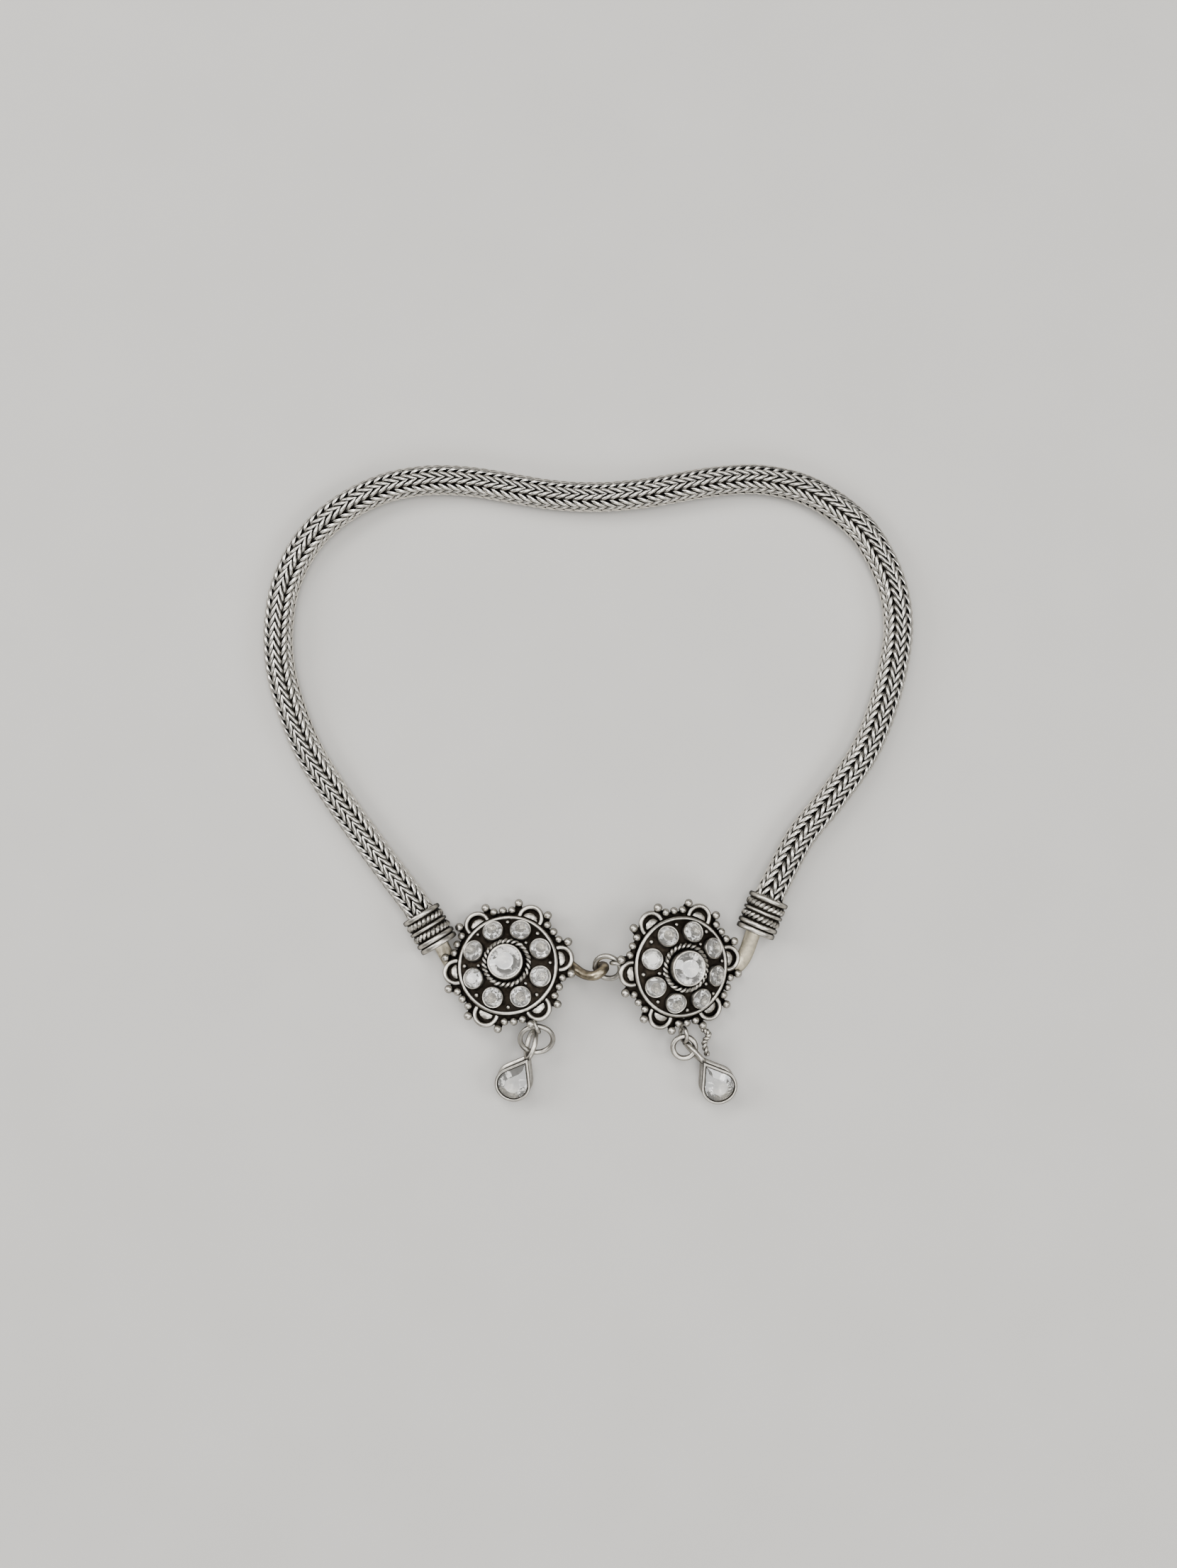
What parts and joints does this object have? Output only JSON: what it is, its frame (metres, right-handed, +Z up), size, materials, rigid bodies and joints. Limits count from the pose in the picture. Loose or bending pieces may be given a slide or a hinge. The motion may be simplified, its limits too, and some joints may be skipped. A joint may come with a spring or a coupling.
{
  "type": "payal anklet",
  "caption": "Closed anklet of thick round woven silver chain with ribbed end caps, stone-set rosettes joined by a hook and ring, and pear drops, lying flat.",
  "frame": {"origin": "middle of the anklet seen from above, on the surface that it lies on", "axes": "+Z up from that surface; +Y from the clasp towards the dip in the far side of the chain; +X to the right seen from above"},
  "size_m": [0.0917, 0.0901, 0.0086],
  "materials": {
    "chain_silver": "woven silver wire, oxidised dark between the stitches and polished on top",
    "oxidised_silver": "cast silver, oxidised in the recesses and rubbed bright on the high parts",
    "clear_stone": "cut colourless stone"
  },
  "bodies": {
    "root": {"woven_chain": "chain_silver", "left_end_cap": "oxidised_silver", "right_end_cap": "oxidised_silver", "left_rosette": "oxidised_silver", "right_rosette": "oxidised_silver", "clasp_hook": "oxidised_silver", "clasp_ring": "oxidised_silver", "left_jump_ring": "oxidised_silver", "right_jump_ring": "oxidised_silver", "left_drop_setting": "oxidised_silver", "right_drop_setting": "oxidised_silver", "left_centre_stone": "clear_stone", "right_centre_stone": "clear_stone", "left_drop_stone": "clear_stone", "right_drop_stone": "clear_stone", "left_petal_stone_1": "clear_stone", "left_petal_stone_2": "clear_stone", "left_petal_stone_3": "clear_stone", "left_petal_stone_4": "clear_stone", "left_petal_stone_5": "clear_stone", "left_petal_stone_6": "clear_stone", "left_petal_stone_7": "clear_stone", "left_petal_stone_8": "clear_stone", "right_petal_stone_1": "clear_stone", "right_petal_stone_2": "clear_stone", "right_petal_stone_3": "clear_stone", "right_petal_stone_4": "clear_stone", "right_petal_stone_5": "clear_stone", "right_petal_stone_6": "clear_stone", "right_petal_stone_7": "clear_stone", "right_petal_stone_8": "clear_stone"}
  },
  "joints": []
}
